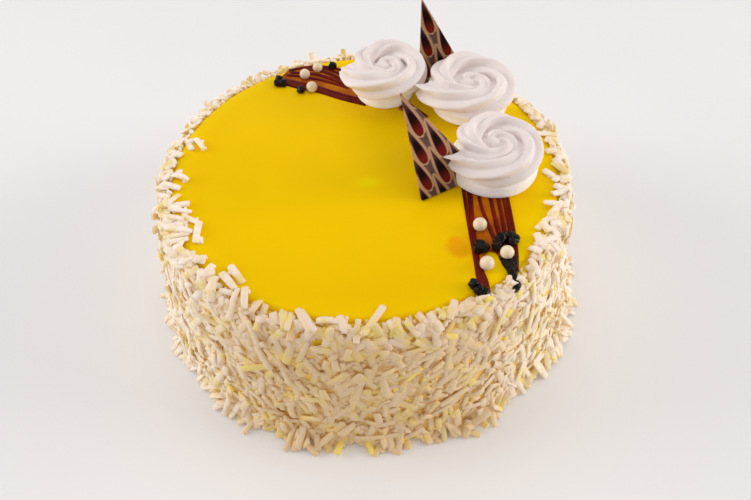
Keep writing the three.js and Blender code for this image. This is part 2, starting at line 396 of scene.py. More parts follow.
# White chocolate shavings: a few shapes of stick, curl and crumb, scattered over the side and the rim
shaving = {
    "seed": 11,
    "stickLengths": (6.0, 15.0),
    "stickWidths": (2.3, 3.8),
    "stickThickness": (0.8, 1.3),
    "curlLengths": (5.0, 10.0),
    "curlWidths": (2.8, 4.2),
    "crumbSizes": (1.6, 4.0),
    # bow, taper and twist of each shape of stick, then roll and skew of each shape of curl
    "stickShapes": [(0.0, 0.9, 0.0), (0.4, 0.85, 0.3), (-0.4, 0.95, -0.4), (0.8, 0.75, 0.5), (0.0, 1.0, 0.2),
                    (0.2, 0.8, -0.5)],
    "curlShapes": [(3.4, 0.0), (4.6, 0.25), (2.4, -0.3)],
    "crumbShapes": 4,
    # on the side: how many, between which heights, how far they stand out in mm, and their tilt in radians
    "inner": {"count": 2100, "low": 2, "high": 72, "lift": 0.9, "tilt": 0.06},
    "outer": {"count": 1500, "low": 4, "high": 72.5, "lift": 1.6, "tilt": 0.12},
    "loose": {"count": 480, "low": 6, "high": 73, "lift": 2.7, "tilt": 0.4},
    "curls": {"count": 300, "low": 4, "high": 72, "lift": 1.4, "tilt": 0.15},
    "crumbs": {"count": 3400, "low": 1, "high": 73, "lift": 1.2, "tilt": 0.4},
    "spiral": 2.39996,  # turn from one to the next in radians, the golden angle
    "jitter": 0.5,
    "headings": 0.8,  # how far they scatter about upright
    # on the plate, against the foot
    "footSticks": 150,
    "moreFoot": 320,
    "footReach": 107.2,
    "footSlope": 0.25,
    # angle from the right, counted to the back, and how far these stand out there, in mm
    "clumps": [(-180, 0.0), (-135, 0.0), (-124, 3.0), (-113, 0.5), (-104, 5.0), (-95, -1.0), (-85, 3.0),
               (-76, -1.0), (-66, 5.0), (-59, 4.0), (-50, 0.0), (-40, 3.0), (-32, 5.0), (-22, 2.0), (-5, 1.0),
               (20, 2.0), (40, -1.0), (70, 2.0), (90, -1.0), (120, 2.0), (150, -1.0), (180, 0.0)],
    "footSeed": 5,
    "rimSeed": 14,
    "white": (paint(254, 243, 238), paint(250, 232, 216)),
    "cream": paint(242, 214, 172),
    "gapShade": (paint(238, 190, 66), paint(172, 120, 36)),  # painted shade deep in the gaps, warm like light bounced between shavings
    "frontShade": (paint(170, 128, 42), paint(216, 188, 152)),  # painted shade at the front, in the gaps and outside
    "pale": paint(255, 249, 240),  # painted light at the sides and the rear
    "lemon": paint(232, 208, 82),
    "shaded": paint(240, 206, 150),
    "stained": paint(244, 222, 110),
    "glow": paint(250, 204, 112),
}
rim = {
    "flatTo": 92.5,  # radius where the top ends and things begin to drop, mm
    "drop": 0.28,
    "outermost": 97.0,
    "width": 3.6,
    "widest": 2.3,  # times the width
    "heaped": 1.6,  # how high they lie at most, mm
    "tries": 520,
    "laidLevels": (0.75, 1.05),  # by turns, mm
    "crumbs": 700,
    "crumbReach": (92.6, 97.6),
    "crumbSlope": 0.7,
    "crumbsBeside": 3,  # each shaving laid on the glaze
    "besideSpread": 1.2,
    "besideWithin": 91,
    # angle from the right, counted to the back, and how much of the rim is covered there
    "cover": [(-180, 0.75), (-160, 1.0), (-147, 0.45), (-138, 0.95), (-115, 0.6), (-90, 0.4), (-60, 0.45),
              (-53, 0.15), (-47, 0.3), (-41, 0.75), (-20, 0.75), (10, 0.7), (30, 0.8), (50, 0.6), (80, 0.45),
              (100, 0.5), (115, 0.3), (128, 0.35), (138, 0.65), (146, 0.3), (158, 0.4), (170, 0.4),
              (180, 0.75)],
    # shavings that lie in over the glaze, from end to end, in mm
    "laid": [(75.1, -47.1, 82.8, -39.4), (72.7, -55.9, 81.9, -52.0), (85.2, -11.1, 88.7, -14.6),
             (-82.4, 17.9, -77.2, 9.8), (-86.5, 16.7, -83.3, 10.7), (-88.2, -8.5, -81.1, -12.2),
             (-86.3, -28.4, -77.9, -27.7), (-85.2, -31.2, -76.1, -32.8), (-78.3, -35.1, -71.3, -39.6),
             (-87.1, -34.9, -78.7, -37.6), (-86.3, -40.9, -77.5, -39.1), (-84.6, -42.7, -73.4, -44.8),
             (-84.0, -47.4, -74.6, -45.6), (-70.8, -39.6, -70.4, -50.6), (-82.2, -50.3, -74.4, -48.8),
             (-83.0, -52.5, -75.1, -56.0), (-79.9, -57.0, -70.5, -56.2), (-78.2, -53.2, -71.2, -59.4),
             (-80.1, -37.4, -76.6, -46.0), (-74.5, -61.5, -68.2, -60.0), (-53.4, -64.9, -48.0, -72.2),
             (-56.5, -68.4, -50.7, -75.6), (-62.6, -65.7, -59.0, -73.4), (-46.3, -76.1, -45.2, -85.2),
             (-48.2, -80.7, -44.4, -86.1), (-27.6, -88.0, -28.4, -94.5), (-23.4, -87.4, -18.1, -95.5),
             (-8.6, -90.7, -6.7, -96.5), (7.9, -86.0, 0.4, -98.1), (-16.5, -91.9, -9.2, -92.8),
             (44.6, -88.2, 50.4, -80.2)],
}


def makeShavingMaterial():
    # the faint glow stands for the light that passes through thin shavings into the gaps
    material, tree, shader, coords = newMaterial("whiteChocolate", {
        "Roughness": 0.5, "Specular IOR Level": 0.2,
        "Emission Color": shaving["glow"], "Emission Strength": 0.08})
    tone = addNode(tree, "ShaderNodeAttribute", attribute_name="tone").outputs["Fac"]
    shift = addNode(tree, "ShaderNodeAttribute", attribute_name="shift").outputs["Fac"]
    axis = axes(tree, coords)
    # outside: what stands out furthest on the side, and what lies on top
    upright = mathNode(tree, "ADD", fromSpot(tree, coords, (0, 0)), times(tree, axis["Z"], body["slope"]))
    onTop = spread(tree, axis["Z"], 0.058, 0.0755)
    furthest = spread(tree, mathNode(tree, "ADD", upright, shift), 0.1045, 0.1075)
    outside = mathNode(tree, "MAXIMUM", furthest, onTop)
    white = blendColor(tree, spread(tree, tone, 0.3, 0.6), *shaving["white"])
    cream = blendColor(tree, spread(tree, tone, 0.65, 0.95), white, shaving["cream"])
    # painted shade: the shavings deeper in are a warm gold, unlike the lit ones outside
    gapShade = blendColor(tree, mottle(tree, coords, 170.0, 0.55, 0.66)[0], *shaving["gapShade"])
    coat = blendColor(tree, outside, gapShade, cream)
    # painted shade: darker and warmer at the front, less so on top
    front = times(tree, spread(tree, axis["Y"], -0.03, -0.1),
                  mathNode(tree, "SUBTRACT", 0.85, times(tree, onTop, 0.35)))
    coat = blendColor(tree, front, coat, blendColor(tree, outside, *shaving["frontShade"]))
    # painted light: paler at the sides and the rear
    rear = times(tree, rearShare(tree, axis), 0.88)
    sides = spread(tree, mathNode(tree, "ABSOLUTE", axis["X"]), 0.035, 0.085)
    coat = blendColor(tree, mathNode(tree, "MAXIMUM", rear, times(tree, sides, 0.75)), coat, shaving["pale"])
    # blots of glaze, soft shade, and a few sticks stained all over
    blots = mottle(tree, coords, 120.0, 0.5, 0.66)[0]
    coat = wash(tree, coat, blots, mathNode(tree, "ADD", 0.55, times(tree, onTop, 0.15)), shaving["lemon"])
    patches, grain = mottle(tree, coords, 380.0, 0.4, 0.65)
    coat = wash(tree, coat, patches, 0.35, shaving["shaded"])
    coat = blendColor(tree, spread(tree, tone, 0.955, 0.985), coat, shaving["stained"])
    tree.links.new(coat, shader.inputs["Base Color"])
    addBump(tree, shader, grain, 0.00025)
    return material


def closeEnds(bm):
    bmesh.ops.holes_fill(bm, edges=bm.edges, sides=0)
    bmesh.ops.recalc_face_normals(bm, faces=bm.faces)


def makeStickTemplate(name, bow, taper, twist):
    # a flat blunt bar along X, one unit long, wide and thick, bowed across its flat side
    bm = bmesh.new()
    bmesh.ops.create_circle(bm, segments=8, radius=1)
    bmesh.ops.rotate(bm, verts=bm.verts, cent=(0, 0, 0), matrix=Matrix.Rotation(math.pi / 8, 3, "Z"))
    edges = bm.edges[:]
    stops = [(-0.5, 0.8), (-0.47, 1.0), (-0.17, 1.04), (0.17, 1.0), (0.47, taper), (0.5, taper * 0.75)]
    for count, (along, size) in enumerate(stops):
        if count:
            grown = bmesh.ops.extrude_edge_only(bm, edges=edges)["geom"]
            edges = [item for item in grown if isinstance(item, bmesh.types.BMEdge)]
        for vert in {vert for edge in edges for vert in edge.verts}:
            flat = Vector((vert.co.x, vert.co.y, 0)).normalized()
            square = 0.5 / max(abs(flat.x), abs(flat.y))  # towards a square section
            flat *= between(0.54, square, 0.45) * size
            vert.co = flat + Vector((0, 0, along))
    for vert in bm.verts:
        vert.co = Matrix.Rotation(twist * vert.co.z, 3, "Z") @ vert.co
    closeEnds(bm)
    bmesh.ops.rotate(bm, verts=bm.verts, cent=(0, 0, 0), matrix=Matrix.Rotation(math.pi / 2, 3, "Y"))
    for vert in bm.verts:
        vert.co.z += bow * (0.25 - vert.co.x ** 2) * 4
    return meshFrom(bm, name)


def makeCurlTemplate(name, roll, skew):
    # a thin shaving rolled round X like an open pipe
    bm = bmesh.new()
    bmesh.ops.create_grid(bm, x_segments=2, y_segments=7, size=0.5)
    for vert in bm.verts:
        angle = vert.co.y * roll
        reach = 0.5 * (1 + skew * vert.co.x)
        vert.co = Vector((vert.co.x, reach * math.sin(angle), reach * math.cos(angle)))
    bmesh.ops.solidify(bm, geom=bm.faces[:], thickness=0.14)
    bmesh.ops.recalc_face_normals(bm, faces=bm.faces)
    for edge in bm.edges:
        edge.smooth = edge.calc_face_angle(0) < 0.9
    return meshFrom(bm, name)


def makeCrumbTemplate(name, seed):
    bm = bmesh.new()
    bmesh.ops.create_icosphere(bm, subdivisions=1, radius=0.5)
    for vert in bm.verts:
        vert.co *= 1 + 0.35 * noise.noise(vert.co * 2.2 + Vector((seed, 0, 0)))
    return meshFrom(bm, name)


def makeTemplates():
    kinds = {"stick": [], "curl": [], "crumb": []}
    for count, shape in enumerate(shaving["stickShapes"]):
        kinds["stick"].append(makeStickTemplate(f"stick{count}", *shape))
    for count, shape in enumerate(shaving["curlShapes"]):
        kinds["curl"].append(makeCurlTemplate(f"curl{count}", *shape))
    for count in range(shaving["crumbShapes"]):
        kinds["crumb"].append(makeCrumbTemplate(f"crumb{count}", 5.0 * count))
    return kinds


templates = makeTemplates()


def makeScatterTree(collection):
    # each point of the seed mesh becomes one turned and stretched shaving
    tree = bpy.data.node_groups.new("scatterShavings", "GeometryNodeTree")
    tree.interface.new_socket("Geometry", in_out="INPUT", socket_type="NodeSocketGeometry")
    tree.interface.new_socket("Geometry", in_out="OUTPUT", socket_type="NodeSocketGeometry")
    start = tree.nodes.new("NodeGroupInput")
    end = tree.nodes.new("NodeGroupOutput")
    shapes = addNode(tree, "GeometryNodeCollectionInfo", {"Collection": collection, "Separate Children": True,
                                                          "Reset Children": True})
    stamp = addNode(tree, "GeometryNodeInstanceOnPoints", {"Points": start.outputs[0], "Pick Instance": True,
                                                           "Instance": shapes.outputs[0]})
    for socket, name, kind in (("Instance Index", "kind", "INT"), ("Rotation", "turn", "FLOAT_VECTOR"),
                               ("Scale", "stretch", "FLOAT_VECTOR")):
        value = addNode(tree, "GeometryNodeInputNamedAttribute", {"Name": name}, data_type=kind)
        tree.links.new(value.outputs["Attribute"], stamp.inputs[socket])
    joined = addNode(tree, "GeometryNodeRealizeInstances", {"Geometry": stamp.outputs[0]})
    tree.links.new(joined.outputs[0], end.inputs[0])
    return tree


def scatter(name, kind, places):
    # places: (point in mm, 3x3 turn, stretch in mm, tone)
    holder = bpy.data.collections.new(name + "Shapes")
    for template in templates[kind]:
        holder.objects.link(bpy.data.objects.new(template.name, template))
    bm = bmesh.new()
    kindLayer = bm.verts.layers.int.new("kind")
    toneLayer = bm.verts.layers.float.new("tone")
    shiftLayer = bm.verts.layers.float.new("shift")
    turnLayer = bm.verts.layers.float_vector.new("turn")
    stretchLayer = bm.verts.layers.float_vector.new("stretch")
    for count, (point, turn, stretch, tone) in enumerate(places):
        vert = bm.verts.new(Vector(point) * mm)
        vert[kindLayer] = count % len(templates[kind])
        vert[toneLayer] = tone
        vert[shiftLayer] = stepBack(math.atan2(point[1], point[0]), point[2]) * mm
        vert[turnLayer] = Vector(turn.to_euler())
        vert[stretchLayer] = Vector(stretch) * mm
    seeds = addObject(name + "Seeds", meshFrom(bm, name + "Seeds"))
    seeds.modifiers.new("scatter", "NODES").node_group = makeScatterTree(holder)
    mesh = applied(seeds)
    mesh.name = name
    for item in list(holder.objects):
        bpy.data.objects.remove(item)
    bpy.data.collections.remove(holder)
    print(name, len(places), "pieces,", sum(len(face.vertices) - 2 for face in mesh.polygons), "triangles")
    return mesh


def layTurn(normal, spin, lift):
    # X along the shaving, Z along the normal, then spun in its plane and lifted at one end
    across = Vector((0, 0, 1)).cross(normal)
    if across.length < 0.1:
        across = Vector((1, 0, 0))
    across.normalize()
    upward = normal.cross(across)
    flat = Matrix((across, upward, normal)).transposed()
    return flat @ Matrix.Rotation(spin, 3, "Z") @ Matrix.Rotation(lift, 3, "Y")


def stickSize(draw):
    length = between(*shaving["stickLengths"], draw.random() ** 1.3)
    width = between(*shaving["stickWidths"], draw.random())
    return (length, width, between(*shaving["stickThickness"], draw.random()))


def curlSize(draw):
    width = between(*shaving["curlWidths"], draw.random())
    return (between(*shaving["curlLengths"], draw.random()), width, width * between(0.6, 0.9, draw.random()))


def crumbSize(draw):
    size = between(*shaving["crumbSizes"], draw.random() ** 2)
    return (size * between(1.0, 1.8, draw.random()), size, size * 0.7)


def onSide(draw, count, layer, size):
    # spread evenly over the side by a spiral with a jitter
    share = (count + draw.random()) / layer["count"]
    height = between(layer["low"], layer["high"], share)
    angle = count * shaving["spiral"] + shaving["jitter"] * draw.random()
    normal = Vector((math.cos(angle), math.sin(angle), body["slope"])).normalized()
    reach = sideRadius(height) + layer["lift"] * between(0.6, 1.4, draw.random()) - stepBack(angle, height)
    stretch = size(draw)
    spin = draw.gauss(math.pi / 2, shaving["headings"])
    turn = layTurn(normal, spin, draw.uniform(-layer["tilt"], layer["tilt"]))
    alongZ = abs(turn.col[0].z) * stretch[0] / 2
    height = max(height, alongZ + 0.8)  # none goes through the plate
    return (atReach(angle, reach, height), turn, stretch, draw.random())


def onFoot(draw, count, total, clumped):
    # shavings that slid down and lie on the plate against the cake, in clumps or not
    angle = (count + draw.random()) / total * 2 * math.pi
    lean = draw.uniform(-1.1, -0.05)
    stretch = stickSize(draw)
    height = 0.9 + abs(math.sin(lean)) * stretch[0] / 2
    reach = shaving["footReach"] - shaving["footSlope"] * height + draw.uniform(-1, 1.2)
    reach += atAngle(body["heap"], angle)
    reach += atAngle(shaving["clumps"], angle) * clumped
    heading = Matrix.Rotation(angle + draw.gauss(0, 1.0), 3, "Z")
    turn = heading @ Matrix.Rotation(-lean, 3, "Y")
    return (atReach(angle, reach, height), turn, stretch, draw.random())


def rimDrop(reach):
    return max(reach - rim["flatTo"], 0) ** 1.5 * rim["drop"]


def onRim(draw, angle, reach, lift):
    stretch = stickSize(draw)
    stretch = (stretch[0] * between(0.4, 0.85, draw.random()), stretch[1], stretch[2])
    past = max(reach - rim["flatTo"], 0)
    height = glazeLevel + 0.5 - rimDrop(reach) + lift
    reach -= stepBack(angle, glazeLevel)
    normal = Vector((math.cos(angle) * past * 0.12, math.sin(angle) * past * 0.12, 1)).normalized()
    turn = layTurn(normal, draw.uniform(0, math.pi), draw.uniform(-0.15, 0.15))
    return (atReach(angle, reach, height), turn, stretch, draw.random() * 0.96)


def laid(draw, start, end, lift):
    # one shaving between two points on the glaze, in mm
    along = Vector((end[0] - start[0], end[1] - start[1], 0))
    middle = Vector((start[0] + end[0], start[1] + end[1], 0)) / 2
    heading = Matrix.Rotation(math.atan2(along.y, along.x), 3, "Z")
    turn = heading @ Matrix.Rotation(draw.uniform(-0.1, 0.1), 3, "Y")
    stretch = (along.length + 1.5, draw.uniform(2.3, 3.2), draw.uniform(1.3, 1.8))
    place = (middle.x, middle.y, glazeLevel + lift - rimDrop(middle.length))
    return (place, turn, stretch, draw.random() * 0.5)


def placeRimSticks(draw):
    places = []
    for _ in range(rim["tries"]):
        angle = draw.uniform(-math.pi, math.pi)
        share = atAngle(rim["cover"], angle)
        if draw.random() > share:
            continue
        inward = min(abs(draw.gauss(0, 1)), rim["widest"]) * rim["width"] * share
        places.append(onRim(draw, angle, rim["outermost"] - inward, draw.uniform(0, rim["heaped"]) * share))
    for number, ends in enumerate(rim["laid"]):
        places.append(laid(draw, ends[:2], ends[2:], rim["laidLevels"][number % 2]))
    return places


def placeRimCrumbs(draw):
    places = []
    inmost, outmost = rim["crumbReach"]
    for count in range(rim["crumbs"]):
        angle = (count + draw.random()) / rim["crumbs"] * 2 * math.pi
        reach = draw.uniform(inmost, outmost)
        height = glazeLevel - 0.6 - (reach - inmost) * rim["crumbSlope"] + draw.uniform(-0.5, 0.4)
        reach -= stepBack(angle, glazeLevel)
        turn = Euler([draw.uniform(-3, 3) for _ in range(3)]).to_matrix()
        places.append((atReach(angle, reach, height), turn, crumbSize(draw), draw.random()))
    for startX, startY, endX, endY in rim["laid"]:
        for _ in range(rim["crumbsBeside"]):
            share = draw.random()
            x = between(startX, endX, share) + draw.gauss(0, rim["besideSpread"])
            y = between(startY, endY, share) + draw.gauss(0, rim["besideSpread"])
            if math.hypot(x, y) < rim["besideWithin"]:
                turn = Matrix.Rotation(draw.uniform(-3, 3), 3, "Z")
                places.append(((x, y, glazeLevel + 0.3), turn, crumbSize(draw), draw.random() * 0.5))
    return places


def addShavings(name, kind, places, material, node="cake"):
    addPiece(name, scatter(name, kind, places), [material], [node])


def placeLayer(draw, name, size):
    layer = shaving[name]
    return [onSide(draw, count, layer, size) for count in range(layer["count"])]


def placeFoot(draw, total, clumped):
    return [onFoot(draw, count, total, clumped) for count in range(total)]


def makeShavings():
    draw = random.Random(shaving["seed"])
    material = makeShavingMaterial()
    addShavings("innerShavings", "stick", placeLayer(draw, "inner", stickSize), material)
    side = placeLayer(draw, "outer", stickSize) + placeLayer(draw, "loose", stickSize)
    addShavings("outerShavings", "stick", side, material)
    addShavings("sideCurls", "curl", placeLayer(draw, "curls", curlSize), material)
    addShavings("sideCrumbs", "crumb", placeLayer(draw, "crumbs", crumbSize), material)
    foot = placeFoot(draw, shaving["footSticks"], 0)
    foot += placeFoot(random.Random(shaving["footSeed"]), shaving["moreFoot"], 1)
    addShavings("footShavings", "stick", foot, material)
    draw = random.Random(shaving["rimSeed"])
    addShavings("rimShavings", "stick", placeRimSticks(draw), material, "glaze")
    addShavings("rimCrumbs", "crumb", placeRimCrumbs(draw), material)


makeShavings()
print("shavings scattered")

# Glaze: a smooth fruit jelly with a rounded shoulder
glaze = {
    "radius": 92.6,
    "thickness": 3.0,
    "edge": 2.9,
    "edgeSteps": 8,
    "undercut": 0.4,
    "rings": (80, 60, 40, 20, 0),
    "movedFrom": 82,  # radius past which it steps back with the side, mm
    "steps": 240,
    "yellow": (paint(247, 202, 0), paint(240, 196, 0)),
    "rimColor": paint(252, 220, 0),
    "frontColor": paint(232, 186, 0),
    # painted reflections in its colour: a darker band of painted shade by the rosettes, a pale streak and an
    # orange patch
    "shade": (31.0, 17.0),
    "shadeColor": paint(214, 176, 0),
    # painted reflection: a pale streak
    "reflectionStreak": (2.6, -15.6),
    "reflectionStreakColor": paint(240, 222, 0),
    # painted reflection: an orange patch, with a fainter one beside it
    "orangeReflection": (40.0, -56.4),
    "orangeReflectionEdge": (44.4, -55.4),
    "orangeReflectionColor": paint(236, 148, 6),
}


def makeGlazeMaterial():
    material, tree, shader, coords = newMaterial("fruitGlaze", {
        "Roughness": 0.25, "Subsurface Weight": 0.1, "Subsurface Scale": 0.002,
        "Subsurface Radius": (1.0, 0.6, 0.05), "Specular IOR Level": 0.05,
        "Specular Tint": (1.0, 0.85, 0.2, 1)})
    patches, grain = mottle(tree, coords, 14.0, 0.3, 0.75)
    base = blendColor(tree, patches, *glaze["yellow"])
    brim = spread(tree, fromSpot(tree, coords, (0, 0)), 0.078, 0.093)
    base = wash(tree, base, brim, 0.6, glaze["rimColor"])
    # painted shade: a darker band by the rosettes, reflected in the glaze
    shade = spread(tree, fromSpot(tree, coords, glaze["shade"]), 0.05, 0.012)
    base = wash(tree, base, shade, 0.75, glaze["shadeColor"])
    # painted reflection: a pale streak on the glaze
    reflectionStreak = spread(tree, fromSpot(tree, coords, glaze["reflectionStreak"], (0.55, 1.0)), 0.006, 0.0005)
    base = wash(tree, base, reflectionStreak, 0.7, glaze["reflectionStreakColor"])
    # the painted orange reflection has a ragged edge, and a fainter patch beside it
    ragged = mathNode(tree, "ADD", fromSpot(tree, coords, glaze["orangeReflection"], (1.0, 0.8)),
                      times(tree, mathNode(tree, "SUBTRACT", grain, 0.5), 0.007))
    beside = fromSpot(tree, coords, glaze["orangeReflectionEdge"], (1.0, 0.75))
    orangeReflection = mathNode(tree, "MAXIMUM", times(tree, spread(tree, ragged, 0.006, 0.0034), 0.7),
                      times(tree, spread(tree, beside, 0.0062, 0.003), 0.45))
    base = blendColor(tree, orangeReflection, base, glaze["orangeReflectionColor"])
    front = spread(tree, axes(tree, coords)["Y"], -0.045, -0.09)
    tree.links.new(wash(tree, base, front, 0.5, glaze["frontColor"]), shader.inputs["Base Color"])
    addBump(tree, shader, patches, 0.0008, 0.35)
    return material


def makeGlaze():
    outer = glaze["radius"]
    edge = glaze["edge"]
    bottom = glazeLevel - glaze["thickness"]
    profile = [(0, bottom), (outer - glaze["undercut"], bottom)]
    for step in range(glaze["edgeSteps"] + 1):
        angle = step / glaze["edgeSteps"] * math.pi / 2
        profile.append((outer - edge * (1 - math.cos(angle)), glazeLevel - edge * (1 - math.sin(angle))))
    profile += [(ring, glazeLevel) for ring in glaze["rings"]]
    bm = turned(profile, glaze["steps"])
    for vert in bm.verts:
        radius = math.hypot(vert.co.x, vert.co.y) / mm
        if radius > glaze["movedFrom"]:
            vert.co.xy *= 1 - stepBack(math.atan2(vert.co.y, vert.co.x), glazeLevel) / radius
    addPiece("glazeTop", meshFrom(bm, "glazeTop"), [makeGlazeMaterial()], ["glaze"])


makeGlaze()
print("glaze poured")

# Syrup: an amber stain on the glaze with red-brown lines drawn over it
syrup = {
    "height": 0.75,  # of the lines, as a share of their half width
    "stainHeight": 0.22,
    "stainDepth": 0.3,  # into the glaze
    "runDown": 0.9,
    "lineColors": (paint(88, 9, 0), paint(116, 22, 0)),
    "stainColors": (paint(192, 112, 4), paint(156, 70, 4)),
    "frontLines": [
        # x, y, half width in mm, from the rosette to the rim
        [(46.2, -20, 0.9), (46.2, -46.8, 0.9), (46.5, -60.0, 1.0), (46.8, -72.0, 1.3), (46.9, -79.5, 1.3)],
        [(48.2, -21, 0.75), (47.4, -46.8, 0.8), (47.3, -62.0, 0.9), (48.0, -73.0, 1.2), (48.4, -79.5, 1.3)],
        [(49.6, -22, 0.75), (48.4, -38.0, 0.75), (47.9, -50.0, 0.7), (47.8, -66.0, 0.8), (49.2, -74.5, 1.1),
         (49.4, -79.5, 1.2)],
        [(52.6, -24, 0.9), (53.0, -34.0, 0.9), (54.3, -43.0, 1.0), (55.6, -51.0, 1.1), (57.2, -60.0, 1.2)],
        [(57.6, -26, 1.0), (57.8, -38.0, 1.1), (58.2, -48.0, 1.2), (58.6, -58.0, 1.3), (60.0, -66.0, 1.4)],
        [(61.0, -26, 1.0), (60.9, -42.0, 1.0), (60.7, -54.0, 1.1), (60.6, -62.0, 1.3), (61.2, -69.0, 1.3)],
        [(63.5, -26, 0.9), (63.4, -40.0, 1.0), (63.2, -50.0, 1.1), (62.6, -60.0, 1.2), (62.0, -68.0, 1.2)],
        [(65.4, -24, 0.8), (65.0, -37.0, 0.9), (64.5, -50.0, 1.0), (63.6, -61.0, 1.0), (62.3, -69.0, 1.1)],
    ],
    "rearLines": [
        [(2, 44.0, 0.9), (-11.6, 50.4, 1.0), (-22.6, 56.5, 1.1), (-33.6, 60.9, 1.2), (-44.5, 66.5, 1.4)],
        [(1, 45.8, 1.1), (-14, 52.9, 1.3), (-24, 58.6, 1.4), (-34, 62.8, 1.4), (-44.5, 67.5, 1.4)],
        [(0, 48.8, 1.0), (-15, 56.0, 1.2), (-25, 61.5, 1.2), (-35, 65.5, 1.3), (-44.5, 69.0, 1.4)],
        [(-7, 59.5, 1.2), (-18, 65.5, 1.2), (-29, 70.0, 1.3), (-42, 73.2, 1.2)],
        [(-7.5, 62.0, 1.3), (-16, 68.0, 1.4), (-27, 73.6, 1.4), (-40, 75.5, 1.3)],
        [(-7, 65.0, 1.3), (-14, 70.5, 1.4), (-22, 76.0, 1.4), (-33, 79.0, 1.3)],
        [(-6, 68.0, 1.0), (-12, 73.0, 1.1), (-20, 78.2, 1.1), (-28, 80.0, 1.0)],
        [(-6, 73.0, 1.2), (-12, 77.4, 1.2), (-20, 80.4, 1.2), (-28, 82.2, 1.1)],
        [(-26, 81.0, 1.3), (-33, 80.0, 1.4), (-41, 77.4, 1.3)],
    ],
    "frontStain": [(45.5, -19), (45.3, -46), (45.5, -64), (45.6, -79), (49.6, -79), (49.2, -70), (49.6, -62),
                   (52.5, -59), (55.0, -59.5), (57.6, -64), (60.5, -71), (62.8, -69), (64.8, -58),
                   (65.7, -46), (66.2, -22), (58, -14), (50, -14)],
    "rearStain": [(1, 43.6), (-12, 50.2), (-23, 56.4), (-34, 60.6), (-44.5, 65.0), (-46, 69.5), (-41.5, 77.6),
                  (-34, 80.8), (-28, 83.0), (-20, 81.4), (-12, 78.4), (-3, 72)],
    "middleStain": [(21.5, 45.5), (27.5, 42.3), (34.5, 33.2), (32.5, 30.6), (26, 34), (19, 40)],
    "middleLines": [
        [(22.5, 44.5, 1.1), (27.5, 40.0, 1.2), (33.0, 33.0, 1.2)],
        [(20.5, 41.5, 0.9), (25.5, 37.0, 0.9), (31.0, 31.5, 0.9)],
    ],
    # thick dark runs over the edge
    "darkRuns": [
        [(57.0, -61.5, 1.1), (58.6, -65.5, 1.7), (60.2, -69.5, 1.8), (61.0, -73.0, 1.5), (61.2, -76.5, 1.5)],
        [(60.2, -62.0, 1.5), (60.8, -66.0, 1.7), (61.2, -70.0, 1.5)],
        [(62.6, -60.0, 1.0), (62.6, -65.0, 1.1), (61.8, -70.5, 1.1)],
        [(46.6, -77.0, 1.6), (47.4, -81.0, 2.0), (47.6, -84.0, 1.4)],
    ],
}


def drawSyrupLine(stops):
    # a round bead along the stops
    curve = bpy.data.curves.new("syrupLine", "CURVE")
    curve.dimensions = "3D"
    curve.bevel_depth = mm
    curve.bevel_resolution = 3
    curve.use_fill_caps = True
    spline = curve.splines.new("BEZIER")
    spline.resolution_u = 8
    spline.bezier_points.add(len(stops) - 1)
    for point, (x, y, halfWidth) in zip(spline.bezier_points, stops):
        drop = max(math.hypot(x, y) - rim["flatTo"], 0) * syrup["runDown"]
        point.co = (x * mm, y * mm, (glazeLevel - drop) * mm)
        point.radius = halfWidth
        point.handle_left_type = point.handle_right_type = "AUTO"
    mesh = applied(addObject("syrupLine", curve))
    bpy.data.curves.remove(curve)
    return mesh


def gatherLines(lines):
    bm = bmesh.new()
    for stops in lines:
        mesh = drawSyrupLine(stops)
        bm.from_mesh(mesh)
        bpy.data.meshes.remove(mesh)
    bmesh.ops.remove_doubles(bm, verts=bm.verts, dist=1e-6)
    bmesh.ops.recalc_face_normals(bm, faces=bm.faces)
    return bm


def makeSyrupLines():
    bm = gatherLines(syrup["frontLines"] + syrup["rearLines"] + syrup["middleLines"])
    for vert in bm.verts:
        if math.hypot(vert.co.x, vert.co.y) / mm < rim["flatTo"]:  # flattened onto the glaze
            vert.co.z = (glazeLevel + (vert.co.z / mm - glazeLevel) * syrup["height"]) * mm
    material = makeMottled("redSyrup", {
        "Roughness": 0.15, "Specular IOR Level": 0.08, "Coat Weight": 0.05, "Coat Roughness": 0.05},
        (90.0, 0.35, 0.65), syrup["lineColors"], 0.0001)
    addPiece("syrupLines", meshFrom(bm, "syrupLines"), [material], ["glaze"])


def makeStain():
    depth = syrup["stainDepth"]
    bm = bmesh.new()
    for outline in (syrup["frontStain"], syrup["rearStain"], syrup["middleStain"]):
        face = bm.faces.new([bm.verts.new((x * mm, y * mm, (glazeLevel - depth) * mm)) for x, y in outline])
        grown = bmesh.ops.extrude_face_region(bm, geom=[face])["geom"]
        upper = [item for item in grown if isinstance(item, bmesh.types.BMVert)]
        bmesh.ops.translate(bm, verts=upper, vec=(0, 0, (depth + syrup["stainHeight"]) * mm))
    bmesh.ops.triangulate(bm, faces=bm.faces)
    bmesh.ops.recalc_face_normals(bm, faces=bm.faces)
    material = makeMottled("amberStain", {"Roughness": 0.2, "Specular IOR Level": 0.06},
                           (110.0, 0.35, 0.65), syrup["stainColors"], 0.0001)
    addPiece("amberStain", meshFrom(bm, "amberStain", False), [material], ["glaze"])


makeSyrupLines()
makeStain()
print("syrup drawn")

